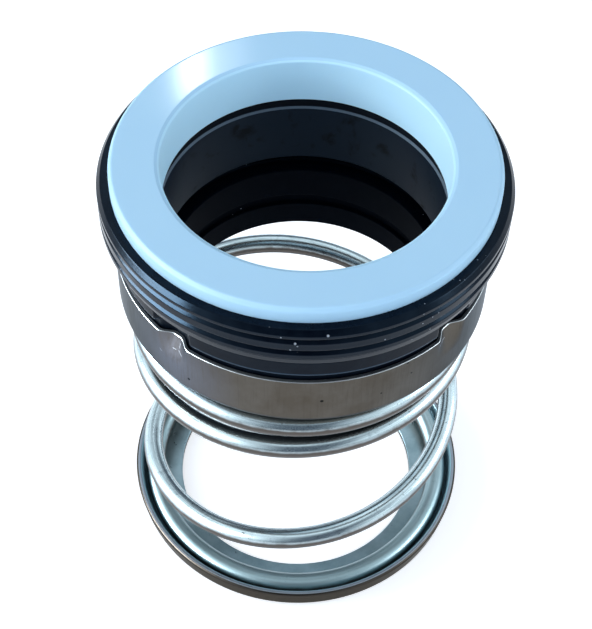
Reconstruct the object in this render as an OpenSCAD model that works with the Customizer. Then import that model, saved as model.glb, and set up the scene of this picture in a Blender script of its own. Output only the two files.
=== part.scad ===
// Pump mechanical seal: rotary head on its coil spring and spring ring, with the
// stationary seat laid on the carbon ring, polished face up.
// Millimetres. The shaft axis is Z, the spring ring stands on Z = 0, and -Y is the front.

/* [Shaft] */
// Diameter of the pump shaft that the seal is made for
shaft_d = 40; // [36:0.5:44]
// Squeeze of the rubber sleeve on the shaft, measured on the radius
sleeve_squeeze = 0.1; // [0.05:0.05:0.3]

/* [Ceramic seat ring] */
// Radial gap between the shaft and the ceramic ring
seat_bore_gap = 0.4; // [0.3:0.05:0.9]
// Radial width of the ceramic ring
seat_width = 7.1; // [6:0.1:9]
// Height of the ceramic ring
seat_h = 7.8; // [6:0.1:9]
// Bevel round the outer edge of the polished face
seat_edge = 0.5; // [0.2:0.1:1]
// Depth of the bevel at the top of the ceramic bore
seat_bore_edge = 0.7; // [0.2:0.1:1.2]
// Height of the bevel at the top of the ceramic bore
seat_bore_edge_h = 0.4; // [0.2:0.1:1]

/* [Rubber seat cup] */
// Radial thickness of the rubber round the ceramic ring
cup_wall = 1.8; // [1.4:0.05:2.6]
// Thickness of the rubber leg under the ceramic ring
cup_leg_h = 1.8; // [1.5:0.1:4]
// How far the bore of the leg stands back from the ceramic bore
cup_leg_back = 0.5; // [0.2:0.1:1.5]
// Height of the ceramic ring that stands bare above the cup
cup_drop = 2.4; // [1.6:0.1:2.8]
// Rounded shoulder above the first groove
cup_shoulder_h = 0.65; // [0.6:0.05:1]
// Rounding of the top edge of the cup
cup_top_round = 0.5; // [0.2:0.05:0.5]
// Height of the bevel at the bottom of the cup
cup_bevel_h = 1.5; // [1:0.1:1.8]
// Land between the bevel and the lowest groove
cup_foot_h = 0.5; // [0.3:0.1:0.6]
// Depth of the bevel at the bottom of the cup
cup_bevel_in = 0.6; // [0.3:0.1:1.2]
// Grooves round the cup
groove_count = 3; // [2:1:3]
// Radius of the round-bottomed grooves
groove_r = 0.35; // [0.25:0.05:0.4]

/* [Carbon ring] */
// Radial gap between the shaft and the carbon ring
carbon_bore_gap = 0.7; // [0.5:0.1:1.2]
// Radial wall of the carbon ring
carbon_wall = 4.2; // [3.6:0.1:5]
// Height of the carbon ring
carbon_h = 10.4; // [9.6:0.1:12]
// Height of the narrower running nose
nose_h = 1.2; // [0.9:0.1:1.8]
// How far the nose stands back from the outside of the carbon ring
nose_back = 0.8; // [0.4:0.1:1.4]
// Bevel at the edges of the carbon ring
carbon_bevel = 0.3; // [0.1:0.1:0.5]

/* [Rubber bellows] */
// Rubber wall round the carbon ring
bellows_wall = 1.95; // [1.8:0.05:2.4]
// Rubber under the carbon ring, down to the shell
bellows_floor = 4; // [3.6:0.1:6]
// Height of the carbon ring above the rubber rim
carbon_stand = 0.7; // [0.3:0.1:0.8]
// Gap between the rubber rim and the edge of the shell
rim_gap = 1.2; // [0.9:0.1:1.5]
// Rounding of the rubber rim
rim_round = 0.7; // [0.3:0.1:0.8]
// Height of the undercut between carbon ring and sleeve
recess_h = 2.2; // [1.6:0.1:2.6]
// Depth of the undercut, measured out from the sleeve bore
recess_in = 2.5; // [1.5:0.1:3]
// Wall of the sleeve that grips the shaft
sleeve_wall = 2; // [1.6:0.1:2.4]
// Length of the sleeve below the shell
sleeve_len = 10.3; // [8.5:0.1:12]
// Height of the relief groove inside the sleeve
relief_h = 1.9; // [1:0.1:2.4]
// Depth of the relief groove inside the sleeve
relief_in = 0.6; // [0.3:0.1:0.9]
// Height of the lower gripping land of the sleeve
low_land_h = 5; // [3.5:0.1:5.5]
// Bevel at the mouth of the sleeve
sleeve_bevel = 0.7; // [0.3:0.1:1]

/* [Metal shell] */
// Thickness of the pressed shell
shell_t = 0.6; // [0.5:0.05:0.8]
// Radial gap between the bellows and the shell
shell_fit = 0.15; // [0.05:0.05:0.25]
// Height of the shell up to its edge
shell_h = 9.4; // [8.8:0.1:9.8]
// Outer radius of the bend at the foot of the shell
shell_bend = 1.4; // [1:0.1:2]
// Radial gap between the sleeve and the floor of the shell
shell_hole_gap = 0.4; // [0.3:0.1:0.8]

/* [Drive dents] */
// How far a dent is pressed into the edge of the shell
dent_in = 1.3; // [1:0.1:1.4]
// Radius of the rounded dents
dent_r = 3.4; // [3:0.1:3.8]
// How far a dent runs down the shell
dent_h = 4.5; // [3.5:0.1:5]
// Half width of the notch in the rubber rim over a dent
notch_half = 3.1; // [2.8:0.1:3.6]
// Radius of the hollow corners of a notch
notch_foot = 1.1; // [0.7:0.1:1.2]
// Direction of the first dent, counted from +X towards +Y
dent_angle = 52.5; // [0:0.5:90]
// Dents round the shell
dent_count = 4; // [3:1:4]

/* [Coil spring] */
// Thickness of the spring wire
wire_d = 3.1; // [2.6:0.1:3.4]
// Length of the unloaded spring
spring_len = 51.8; // [44:0.2:62]
// How far the spring stands back from the outside of the shell
spring_inset = 1.1; // [0.6:0.1:1.3]
// Turns of the spring
spring_turns = 3.8; // [3.6:0.1:4]
// Climb of one turn at the closely wound top
top_pitch = 5.1; // [4.6:0.1:6]
// Turn at which the spring begins to climb out of the ring
climb_start = 0.55; // [0.5:0.05:0.6]
// Turn at which the spring has reached its full pitch
climb_full = 1.25; // [1.2:0.05:1.4]
// Turn at which the closely wound top begins
top_start = 2.3; // [2.2:0.05:2.4]
// Direction of the lower wire end, counted from +X towards +Y
spring_angle = 130; // [0:5:355]

/* [Spring ring] */
// Thickness of the pressed ring
ring_t = 1; // [0.8:0.1:1.4]
// Radial gap between the shaft and the hole of the ring
ring_hole_gap = 0.25; // [0.15:0.05:0.6]
// Radial gap between the spring and the upturned lip
ring_fit = 0.1; // [0.05:0.05:0.3]
// Height of the upturned lip
lip_h = 4.4; // [3.6:0.1:5.5]
// How far the lip leans out at its top
lip_lean = 0.7; // [0.2:0.1:0.9]
// Outer radius of the bend under the lip
ring_bend = 1.5; // [1.2:0.1:2]

/* [Hidden] */

$fn = 96;
quarter = 90;
full_turn = 360;
eps = 0.05; // cutters run this far past the surface that they cut

// Radii, from the shaft outwards
shaft_r = shaft_d / 2;
sleeve_r = shaft_r - sleeve_squeeze;
sleeve_out_r = sleeve_r + sleeve_wall;
recess_r = sleeve_r + recess_in;
carbon_r = shaft_r + carbon_bore_gap;
carbon_out_r = carbon_r + carbon_wall;
nose_r = carbon_out_r - nose_back;
bellows_r = carbon_out_r + bellows_wall;
shell_in_r = bellows_r + shell_fit;
shell_r = shell_in_r + shell_t;
shell_hole_r = sleeve_out_r + shell_hole_gap;
spring_r = shell_r - spring_inset;
coil_r = spring_r - wire_d / 2;
seat_bore_r = shaft_r + seat_bore_gap;
seat_r = seat_bore_r + seat_width;
cup_r = seat_r + cup_wall;
cup_leg_r = seat_bore_r + cup_leg_back;
ring_hole_r = shaft_r + ring_hole_gap;
channel_r = spring_r + ring_fit;

// Heights, from the floor upwards
spring_z = ring_t;
shell_z = spring_z + spring_len;
bellows_z = shell_z + shell_t;
sleeve_z = shell_z - sleeve_len;
carbon_z = bellows_z + bellows_floor;
cup_z = carbon_z + carbon_h;
seat_z = cup_z + cup_leg_h;
seat_top_z = seat_z + seat_h;
cup_top_z = seat_top_z - cup_drop;
shell_top_z = shell_z + shell_h;
dent_z = shell_top_z - dent_h;
dent_lean = atan(dent_in / dent_h);
dent_way = 2 * dent_h; // a dent cutter runs on by this much past the edge of the shell
rim_z = shell_top_z + rim_gap;
rim_top_z = cup_z - carbon_stand;
nose_z = cup_z - nose_h;
recess_z = carbon_z - recess_h;
relief_z = sleeve_z + low_land_h;

// Grooves share the height between the shoulder and the bevel
groove_top_z = cup_top_z - cup_shoulder_h - groove_r;
groove_low_z = cup_z + cup_bevel_h + cup_foot_h + groove_r;
groove_pitch = (groove_top_z - groove_low_z) / (groove_count - 1);

// Spring: the climb that is left over for the open turns
spring_sides = 14;
spring_steps = 48; // rings of points in one turn
top_blend = 0.35; // half of the stretch over which the pitch falls to that of the top
open_turns = eased(spring_turns, climb_start, climb_full)
    - eased(spring_turns, top_start - top_blend, top_start + top_blend);
top_turns = eased(spring_turns, top_start - top_blend, top_start + top_blend);
open_pitch = (spring_len - wire_d - top_pitch * top_turns) / open_turns;

// A slope that grows evenly from 0 at a to 1 at b, summed up from 0 to u
function eased(u, a, b) =
    u <= a ? 0 : u >= b ? u - (a + b) / 2 : (u - a) * (u - a) / (2 * (b - a));

// Height of the wire's middle after u turns
function wire_z(u) = spring_z + wire_d / 2
    + open_pitch * (eased(u, climb_start, climb_full)
        - eased(u, top_start - top_blend, top_start + top_blend))
    + top_pitch * eased(u, top_start - top_blend, top_start + top_blend);

// One point of the wire's skin: u turns along the coil, at angle a round the wire
function wire_point(u, a) =
    let (
        turn = spring_angle + full_turn * u,
        step = 1 / spring_steps,
        climb = (wire_z(u + step) - wire_z(u - step)) / (2 * step),
        lean = atan2(climb, 2 * PI * coil_r),
        out = coil_r + wire_d / 2 * cos(a),
        side = wire_d / 2 * sin(a)
    )
    [
        out * cos(turn) + side * sin(lean) * sin(turn),
        out * sin(turn) - side * sin(lean) * cos(turn),
        wire_z(u) + side * cos(lean)
    ];

// The waste of an outer corner at [x, y], where the material lies towards -sx and -sy
module corner(x, y, radius, sx, sy) {
    translate([x - sx * radius, y - sy * radius])
        mirror([sx < 0 ? 1 : 0, 0])
            mirror([0, sy < 0 ? 1 : 0])
                difference() {
                    square(radius + eps);
                    circle(radius);
                }
}

// A flat strip from radius a to radius b and from height low to height high
module strip(a, b, low, high) {
    translate([a, low])
        square([b - a, high - low]);
}

// Turns its children to each dent, with x outwards
module at_dents() {
    for (i = [0 : dent_count - 1])
        rotate([0, 0, dent_angle + i * full_turn / dent_count])
            children();
}

// Round bars that lean in towards the top: the hollow of the dents, grown by extra
module dent_bars(extra) {
    at_dents()
        translate([shell_r, 0, dent_z])
            rotate([0, -dent_lean, 0])
                translate([dent_r, 0, -dent_h])
                    cylinder(h = dent_way + dent_h, r = dent_r + extra);
}

// Notches in the rubber rim, each with hollow corners at its foot
module rim_notches() {
    at_dents()
        translate([0, 0, rim_z])
            rotate([quarter, 0, quarter])
                linear_extrude(2 * shell_r)
                    difference() {
                        union() {
                            translate([-notch_half, -eps])
                                square([2 * notch_half, rim_top_z - rim_z + 2 * eps]);
                            translate([-notch_half - notch_foot, -eps])
                                square([2 * (notch_half + notch_foot), notch_foot + eps]);
                        }
                        for (s = [-1, 1])
                            translate([s * (notch_half + notch_foot), notch_foot])
                                circle(notch_foot);
                    }
}

module seat_ring() {
    color("aliceblue")
        rotate_extrude()
            polygon([
                [seat_bore_r, seat_z],
                [seat_r, seat_z],
                [seat_r, seat_top_z - seat_edge],
                [seat_r - seat_edge, seat_top_z],
                [seat_bore_r + seat_bore_edge, seat_top_z],
                [seat_bore_r, seat_top_z - seat_bore_edge_h]
            ]);
}

module seat_cup() {
    color([0.07, 0.08, 0.1])
        rotate_extrude()
            difference() {
                union() {
                    strip(cup_leg_r, cup_r, cup_z, seat_z);
                    strip(seat_r, cup_r, cup_z, cup_top_z);
                }
                corner(cup_r, cup_top_z, cup_top_round, 1, 1);
                polygon([
                    [cup_r - cup_bevel_in, cup_z],
                    [cup_r - cup_bevel_in, cup_z - eps],
                    [cup_r + eps, cup_z - eps],
                    [cup_r + eps, cup_z + cup_bevel_h],
                    [cup_r, cup_z + cup_bevel_h]
                ]);
                for (i = [0 : groove_count - 1])
                    translate([cup_r, groove_low_z + i * groove_pitch])
                        circle(groove_r);
            }
}

module carbon_ring() {
    color([0.2, 0.21, 0.23])
        rotate_extrude()
            polygon([
                [carbon_r, carbon_z],
                [carbon_out_r - carbon_bevel, carbon_z],
                [carbon_out_r, carbon_z + carbon_bevel],
                [carbon_out_r, nose_z],
                [nose_r, nose_z],
                [nose_r, cup_z],
                [carbon_r + carbon_bevel, cup_z],
                [carbon_r, cup_z - carbon_bevel]
            ]);
}

// Section of the bellows: cup round the carbon, rim over the shell, floor and sleeve
module bellows_section() {
    difference() {
        union() {
            strip(carbon_out_r, bellows_r, carbon_z - eps, rim_top_z);
            strip(carbon_out_r, shell_r, rim_z, rim_top_z);
            strip(sleeve_r, bellows_r, bellows_z, carbon_z);
            strip(sleeve_r, sleeve_out_r, sleeve_z, bellows_z + eps);
        }
        strip(sleeve_r - eps, recess_r, recess_z, carbon_z + eps);
        strip(sleeve_r - eps, sleeve_r + relief_in, relief_z, relief_z + relief_h);
        corner(shell_r, rim_top_z, rim_round, 1, 1);
        corner(shell_r, rim_z, rim_round, 1, -1);
        polygon([
            [sleeve_r - eps, sleeve_z - eps],
            [sleeve_r + sleeve_bevel + eps, sleeve_z - eps],
            [sleeve_r - eps, sleeve_z + sleeve_bevel + eps]
        ]);
    }
}

module rubber_bellows() {
    room = shell_t + shell_fit;
    color([0.06, 0.07, 0.09])
        difference() {
            rotate_extrude()
                bellows_section();
            // notches over the dents, cut no deeper than the bellows wall
            difference() {
                rim_notches();
                translate([0, 0, rim_z - 2 * eps])
                    cylinder(h = rim_top_z - rim_z + 4 * eps, r = bellows_r);
            }
            // hollows for the dents, running straight on above the edge of the shell
            intersection() {
                dent_bars(room);
                cylinder(h = shell_top_z, r = cup_r);
            }
            at_dents()
                translate([shell_r - dent_in + dent_r, 0, shell_top_z - eps])
                    cylinder(h = rim_top_z - shell_top_z + 2 * eps, r = dent_r + room / cos(dent_lean) + eps);
        }
}

// Section of the shell without its dents
module shell_section() {
    difference() {
        strip(shell_hole_r, shell_r, shell_z, shell_top_z);
        strip(shell_hole_r - eps, shell_in_r, bellows_z, shell_top_z + eps);
        corner(shell_r, shell_z, shell_bend, 1, -1);
    }
}

module metal_shell() {
    color([0.55, 0.53, 0.5])
        difference() {
            union() {
                rotate_extrude()
                    shell_section();
                intersection() {
                    dent_bars(shell_t);
                    rotate_extrude()
                        strip(carbon_out_r, shell_r - shell_t / 2, dent_z - shell_t, shell_top_z);
                }
            }
            intersection() {
                dent_bars(0);
                cylinder(h = shell_top_z + eps, r = cup_r);
            }
        }
}

module coil_spring() {
    rings = round(spring_turns * spring_steps);
    color([0.78, 0.82, 0.86])
        polyhedron(
            points = [
                for (i = [0 : rings])
                    for (j = [0 : spring_sides - 1])
                        wire_point(spring_turns * i / rings, full_turn * j / spring_sides)
            ],
            faces = concat(
                [[for (j = [0 : spring_sides - 1]) j]],
                [
                    for (i = [0 : rings - 1])
                        for (j = [0 : spring_sides - 1])
                            let (k = (j + 1) % spring_sides, a = i * spring_sides, b = a + spring_sides)
                            [a + k, a + j, b + j]
                ],
                [
                    for (i = [0 : rings - 1])
                        for (j = [0 : spring_sides - 1])
                            let (k = (j + 1) % spring_sides, a = i * spring_sides, b = a + spring_sides)
                            [a + k, b + j, b + k]
                ],
                [[for (j = [spring_sides - 1 : -1 : 0]) rings * spring_sides + j]]
            )
        );
}

module spring_ring() {
    color([0.5, 0.53, 0.54])
        rotate_extrude()
            difference() {
                union() {
                    strip(ring_hole_r, channel_r + eps, 0, ring_t);
                    polygon([
                        [channel_r - ring_t, 0],
                        [channel_r + ring_t, 0],
                        [channel_r + ring_t + lip_lean, lip_h],
                        [channel_r + lip_lean, lip_h],
                        [channel_r, ring_t],
                        [channel_r - ring_t, ring_t]
                    ]);
                }
                corner(channel_r + ring_t, 0, ring_bend, 1, -1);
            }
}

spring_ring();
coil_spring();
metal_shell();
rubber_bellows();
carbon_ring();
seat_cup();
seat_ring();
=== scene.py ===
import bpy
import numpy as np
from mathutils import Matrix, Vector


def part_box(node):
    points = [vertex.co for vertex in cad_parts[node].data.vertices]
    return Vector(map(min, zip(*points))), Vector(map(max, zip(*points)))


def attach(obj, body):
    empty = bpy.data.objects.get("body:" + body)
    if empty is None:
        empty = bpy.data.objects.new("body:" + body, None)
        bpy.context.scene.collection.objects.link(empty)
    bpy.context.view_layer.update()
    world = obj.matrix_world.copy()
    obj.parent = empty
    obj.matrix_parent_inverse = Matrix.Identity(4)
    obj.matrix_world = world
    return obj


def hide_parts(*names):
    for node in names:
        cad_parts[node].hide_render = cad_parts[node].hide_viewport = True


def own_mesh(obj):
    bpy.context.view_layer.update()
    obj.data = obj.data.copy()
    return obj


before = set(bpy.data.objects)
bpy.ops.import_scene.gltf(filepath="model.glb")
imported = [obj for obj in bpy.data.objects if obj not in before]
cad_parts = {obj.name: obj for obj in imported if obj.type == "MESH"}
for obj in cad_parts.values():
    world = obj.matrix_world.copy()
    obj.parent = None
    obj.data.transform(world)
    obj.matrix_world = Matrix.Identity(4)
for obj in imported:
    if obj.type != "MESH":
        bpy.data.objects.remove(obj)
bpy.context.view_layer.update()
mm = 0.001  # the sizes below are in millimetres, and a mesh is in metres
fullTurn = 2 * np.pi
print("frame loaded:", ", ".join(sorted(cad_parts)))


# Lowest and highest corner of a CAD node, in millimetres
def nodeBox(node):
    low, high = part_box(node)
    return np.array(low) / mm, np.array(high) / mm


seatLow, seatHigh = nodeBox("seat_ring")
cupLow, cupHigh = nodeBox("seat_cup")
carbonLow, carbonHigh = nodeBox("carbon_ring")
bellowsLow, bellowsHigh = nodeBox("rubber_bellows")
shellLow, shellHigh = nodeBox("metal_shell")
springLow, springHigh = nodeBox("coil_spring")
ringLow, ringHigh = nodeBox("spring_ring")


# Turns a list of corners (x, y, fillet radius) into a closed outline.
# A corner with a fillet becomes an arc that leaves both its sides tangentially:
# its middle lies on the corner's halving line at radius / sin(half angle).
# Each straight side then gets points close to its ends, so that it shades flat.
def filletOutline(corners, arcSteps=7, guard=0.06, stride=1.0):
    corners = np.array(corners, float)
    middle = corners[:, :2]
    radius = corners[:, 2]
    before = np.roll(middle, 1, axis=0) - middle
    after = np.roll(middle, -1, axis=0) - middle
    before /= np.linalg.norm(before, axis=1)[:, None]
    after /= np.linalg.norm(after, axis=1)[:, None]
    half = np.arccos(np.clip((before * after).sum(1), -1, 1)) / 2
    reach = radius / np.tan(half)
    start = middle + before * reach[:, None]
    halving = before + after
    halving /= np.linalg.norm(halving, axis=1)[:, None]
    centre = middle + halving * (radius / np.sin(half))[:, None]
    points = []
    for i in range(len(corners)):
        if radius[i] == 0:
            arc = middle[i][None]
        else:
            a = start[i] - centre[i]
            sweep = np.pi - 2 * half[i]
            side = np.sign(before[i][0] * after[i][1] - before[i][1] * after[i][0])
            t = -side * np.linspace(0, sweep, arcSteps)
            arc = centre[i] + np.stack([a[0] * np.cos(t) - a[1] * np.sin(t),
                                        a[0] * np.sin(t) + a[1] * np.cos(t)], -1)
        points.append(arc)
    outline = []
    for arc, nextArc in zip(points, points[1:] + points[:1]):
        outline.append(arc)
        gap = nextArc[0] - arc[-1]
        length = np.linalg.norm(gap)
        if length > 3 * guard:
            share = np.array([guard / length, 1 - guard / length])
            parts = int(length / stride)
            if parts > 1:
                share = np.sort(np.append(share, np.arange(1, parts) / parts))
            outline.append(arc[-1] + share[:, None] * gap)
    return np.concatenate(outline)


# Builds a mesh from a grid of points [rows, columns, 3] in millimetres, closed across its columns.
# Quads run (i, j), (i, j+1), (i+1, j+1), (i+1, j). The rows close on themselves too, or else
# the first and the last row each get one polygon as a cap.
def gridMesh(name, grid, closeRows=True):
    rows, columns = grid.shape[:2]
    i = np.arange(rows if closeRows else rows - 1)
    j = np.arange(columns)
    i, j = [a.ravel() for a in np.meshgrid(i, j, indexing="ij")]
    ni, nj = (i + 1) % rows, (j + 1) % columns
    quads = np.stack([i * columns + j, i * columns + nj, ni * columns + nj, ni * columns + j], -1)
    faces = quads.tolist()
    if not closeRows:
        faces.append(list(range(columns - 1, -1, -1)))
        faces.append(list(range((rows - 1) * columns, rows * columns)))
    mesh = bpy.data.meshes.new(name)
    mesh.from_pydata((grid.reshape(-1, 3) * mm).tolist(), [], faces)
    mesh.polygons.foreach_set("use_smooth", np.ones(len(mesh.polygons), bool))
    mesh.update()
    piece = bpy.data.objects.new(name, mesh)
    bpy.context.scene.collection.objects.link(piece)
    return piece


# A section (r, z) carried once round Z: (r cos t, r sin t, z) for t from 0 to a full turn
def turnedPiece(name, section, steps):
    t = np.arange(steps) * fullTurn / steps
    r, z = section[:, 0][:, None], section[:, 1][:, None]
    grid = np.stack([r * np.cos(t), r * np.sin(t), z + 0 * t], -1)
    return gridMesh(name, grid)


# A new material, with its nodes, its links, its main shader and the Object coordinates
def newFinish(name):
    finish = bpy.data.materials.new(name)
    finish.use_nodes = True
    nodes, links = finish.node_tree.nodes, finish.node_tree.links
    shader = nodes["Principled BSDF"]
    coords = nodes.new("ShaderNodeTexCoord").outputs["Object"]
    return finish, nodes, links, shader, coords


# Object coordinates in millimetres, stretched by a factor on each axis
def scaledCoords(nodes, links, coords, stretch):
    mapping = nodes.new("ShaderNodeMapping")
    mapping.inputs["Scale"].default_value = [s / mm for s in stretch]
    links.new(coords, mapping.inputs["Vector"])
    return mapping.outputs["Vector"]


def noiseField(nodes, links, vector, scale, detail=3.0, roughness=0.5, distortion=0.0):
    noise = nodes.new("ShaderNodeTexNoise")
    noise.inputs["Scale"].default_value = scale
    noise.inputs["Detail"].default_value = detail
    noise.inputs["Roughness"].default_value = roughness
    noise.inputs["Distortion"].default_value = distortion
    links.new(vector, noise.inputs["Vector"])
    return noise.outputs["Fac"]


# A straight ramp between grey stops (position, level)
def ramp(nodes, links, value, stops):
    node = nodes.new("ShaderNodeValToRGB")
    elements = node.color_ramp.elements
    while len(elements) < len(stops):
        elements.new(0.5)
    for element, (position, level) in zip(elements, stops):
        element.position = position
        element.color = (level, level, level, 1)
    links.new(value, node.inputs["Fac"])
    return node.outputs["Color"]


# Colour a at factor 0 and colour b at factor 1; each of the three is a number, a colour or a socket
def mixColour(nodes, links, factor, a, b):
    node = nodes.new("ShaderNodeMix")
    node.data_type = "RGBA"
    for socket, value in ((node.inputs["Factor"], factor), (node.inputs["A"], a), (node.inputs["B"], b)):
        if isinstance(value, bpy.types.NodeSocket):
            links.new(value, socket)
        elif isinstance(value, tuple):
            socket.default_value = (*value, 1)
        else:
            socket.default_value = value
    return node.outputs["Result"]


# One step of arithmetic on numbers or sockets
def mathNode(nodes, links, operation, a, b=None, c=None):
    node = nodes.new("ShaderNodeMath")
    node.operation = operation
    for socket, value in zip(node.inputs, (a, b, c)):
        if isinstance(value, bpy.types.NodeSocket):
            links.new(value, socket)
        elif value is not None:
            socket.default_value = value
    return node.outputs["Value"]


# Fine relief, its depth in millimetres
def addBump(nodes, links, shader, height, depth, strength):
    bump = nodes.new("ShaderNodeBump")
    bump.inputs["Distance"].default_value = depth * mm
    bump.inputs["Strength"].default_value = strength
    links.new(height, bump.inputs["Height"])
    links.new(bump.outputs["Normal"], shader.inputs["Normal"])


# Distance from the shaft axis in millimetres, and height in metres
def axisDistance(nodes, links, coords):
    split = nodes.new("ShaderNodeSeparateXYZ")
    links.new(coords, split.inputs[0])
    flat = nodes.new("ShaderNodeCombineXYZ")
    links.new(split.outputs["X"], flat.inputs["X"])
    links.new(split.outputs["Y"], flat.inputs["Y"])
    length = nodes.new("ShaderNodeVectorMath")
    length.operation = "LENGTH"
    links.new(flat.outputs[0], length.inputs[0])
    radius = mathNode(nodes, links, "MULTIPLY", length.outputs["Value"], 1 / mm)
    return radius, split.outputs["Z"]


# A place on a round wall, from its angle in degrees, radius and height in millimetres
def wallPoint(angle, radius, z):
    turn = np.radians(angle)
    return radius * np.cos(turn), radius * np.sin(turn), z


# 1 inside a distance (mm) of one of the given places, falling to 0 over the soft share of it
def spotMarks(nodes, links, coords, places, soft=0.3):
    total = None
    for place, size in places:
        apart = nodes.new("ShaderNodeVectorMath")
        apart.operation = "DISTANCE"
        apart.inputs[1].default_value = [c * mm for c in place]
        links.new(coords, apart.inputs[0])
        near = nodes.new("ShaderNodeMapRange")
        near.inputs["From Min"].default_value = size * mm
        near.inputs["From Max"].default_value = size * (1 - soft) * mm
        links.new(apart.outputs["Value"], near.inputs["Value"])
        mark = near.outputs["Result"]
        total = mark if total is None else mathNode(nodes, links, "MAXIMUM", total, mark)
    return total


# 1 on straight strokes drawn on a round wall: each has its start and end (degrees, mm) and its width.
# With u along the wall and v up it, a point is on the stroke where |u dy - v dx| is under half the width
# and u dx + v dy lies between 0 and the length.
def strokeMarks(nodes, links, x, y, z, radius, strokes):
    turn = mathNode(nodes, links, "ARCTAN2", y, x)
    total = None
    for start, end, width in strokes:
        reach = np.array([np.radians(end[0] - start[0]) * radius, end[1] - start[1]])
        length = float(np.linalg.norm(reach))
        dx, dy = [float(c) for c in reach / length]
        u = mathNode(nodes, links, "MULTIPLY_ADD", turn, radius, -float(np.radians(start[0])) * radius)
        v = mathNode(nodes, links, "MULTIPLY_ADD", z, 1 / mm, -start[1])
        along = mathNode(nodes, links, "MULTIPLY_ADD", u, dx, mathNode(nodes, links, "MULTIPLY", v, dy))
        aside = mathNode(nodes, links, "MULTIPLY_ADD", u, dy, mathNode(nodes, links, "MULTIPLY", v, -dx))
        thin = mathNode(nodes, links, "LESS_THAN", mathNode(nodes, links, "ABSOLUTE", aside), width / 2)
        middle = mathNode(nodes, links, "ABSOLUTE", mathNode(nodes, links, "SUBTRACT", along, length / 2))
        within = mathNode(nodes, links, "LESS_THAN", middle, length / 2)
        mark = mathNode(nodes, links, "MULTIPLY", thin, within)
        total = mark if total is None else mathNode(nodes, links, "MAXIMUM", total, mark)
    return total


# Gives a piece its material and its moving body, and hides the CAD nodes that it stands for. Its slot is
# not used.
def dress(piece, finish, body, slot, *nodes):
    piece.data.materials.append(finish)
    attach(piece, body)
    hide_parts(*nodes)


# Ceramic seat ring: lapped face, rounded outer edge, shallow bevel into the bore
seatRing = {
    "bore": 20.4,
    "edge": 0.5,
    "edgeRound": 0.5,
    "boreBevel": 0.7,
    "boreBevelHeight": 0.4,
    "boreRound": 0.25,
    "backRound": 0.2,
    "colour": (0.500, 0.755, 0.920),
    "deepColour": (0.485, 0.740, 0.910),
    # painted light: the bore gets a paler, bluer copy of the ceramic colour
    "boreLitColour": (0.575, 0.850, 1.000),
    "roughness": 0.08,  # of the lapped face
    "groundRoughness": 0.54,  # of the ground sides and the bore
    "gloss": 0.3,
    "scatter": 0.12,  # share of the light that sinks in, its reach in each colour and its scale
    "scatterReach": (0.4, 0.5, 0.6),
    "scatterScale": 1.5,
    "steps": 360,
}


def ceramicFinish():
    finish, nodes, links, shader, coords = newFinish("white_alumina")
    soft = noiseField(nodes, links, scaledCoords(nodes, links, coords, (1, 1, 1)), 0.06, 2)
    body = mixColour(nodes, links, ramp(nodes, links, soft, [(0.35, 0.0), (0.65, 1.0)]),
                     seatRing["colour"], seatRing["deepColour"])
    grain = noiseField(nodes, links, scaledCoords(nodes, links, coords, (1, 1, 1)), 9.0, 4)
    r, z = axisDistance(nodes, links, coords)
    # painted light: inside the bore the colour turns paler and bluer
    inBore = mathNode(nodes, links, "LESS_THAN", r, seatRing["bore"] + 0.3)
    links.new(mixColour(nodes, links, inBore, body, seatRing["boreLitColour"]), shader.inputs["Base Color"])
    lapped = mathNode(nodes, links, "GREATER_THAN", z, (seatHigh[2] - 0.05) * mm)
    polish = seatRing["roughness"] - seatRing["groundRoughness"]
    matt = mathNode(nodes, links, "MULTIPLY_ADD", lapped, polish, seatRing["groundRoughness"])
    links.new(mathNode(nodes, links, "MULTIPLY_ADD", grain, 0.03, matt), shader.inputs["Roughness"])
    shader.inputs["Specular IOR Level"].default_value = seatRing["gloss"]
    shader.inputs["Subsurface Weight"].default_value = seatRing["scatter"]
    shader.inputs["Subsurface Radius"].default_value = seatRing["scatterReach"]
    shader.inputs["Subsurface Scale"].default_value = seatRing["scatterScale"] * mm
    addBump(nodes, links, shader, grain, 0.002, 0.12)
    return finish


def makeSeatRing():
    s = seatRing
    outer, low, high = seatHigh[0], seatLow[2], seatHigh[2]
    section = filletOutline([
        (s["bore"], low, s["backRound"]),
        (outer, low, s["backRound"]),
        (outer, high - s["edge"], s["edgeRound"]),
        (outer - s["edge"], high, s["edgeRound"]),
        (s["bore"] + s["boreBevel"], high, s["boreRound"]),
        (s["bore"], high - s["boreBevelHeight"], s["boreRound"]),
    ])
    dress(turnedPiece("ceramic_seat", section, s["steps"]), ceramicFinish(), "seat", "ceramic", "seat_ring")


# Rubber seat cup: L section, three grooves between bevelled ribs, foot standing back a little
seatCup = {
    "inside": 27.5,
    "legBore": 20.9,
    "legTop": 1.8,
    "topInnerRound": 0.12,
    "grooveHeights": (69.3, 71.1, 73.35),
    "grooveDepth": 0.58,
    "ribBevel": 0.68,
    "underBevel": 0.26,
    "ribRound": 0.22,
    "grooveRound": 0.08,
    "footIn": 0.45,
    "footBevel": 0.2,
    "footTop": 0.35,  # below the first groove
    "footTopRound": 0.15,
    "legRound": 0.3,
    "legTopRound": 0.2,
    "topBevelMore": 0.1,
    "dust": 0.45,
    "lintSize": 0.21,
    "lintSink": 0.15,
    "lint": ((-99.0, 75.6), (-90.9, 75.0), (-84.0, 75.2), (-88.8, 72.7), (-88.2, 72.3), (-90.0, 71.5),
             (-88.2, 70.9), (-80.6, 74.3), (-65.5, 71.7), (-154.6, 71.2), (-92.4, 73.9)),
    "steps": 360,
}


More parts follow.
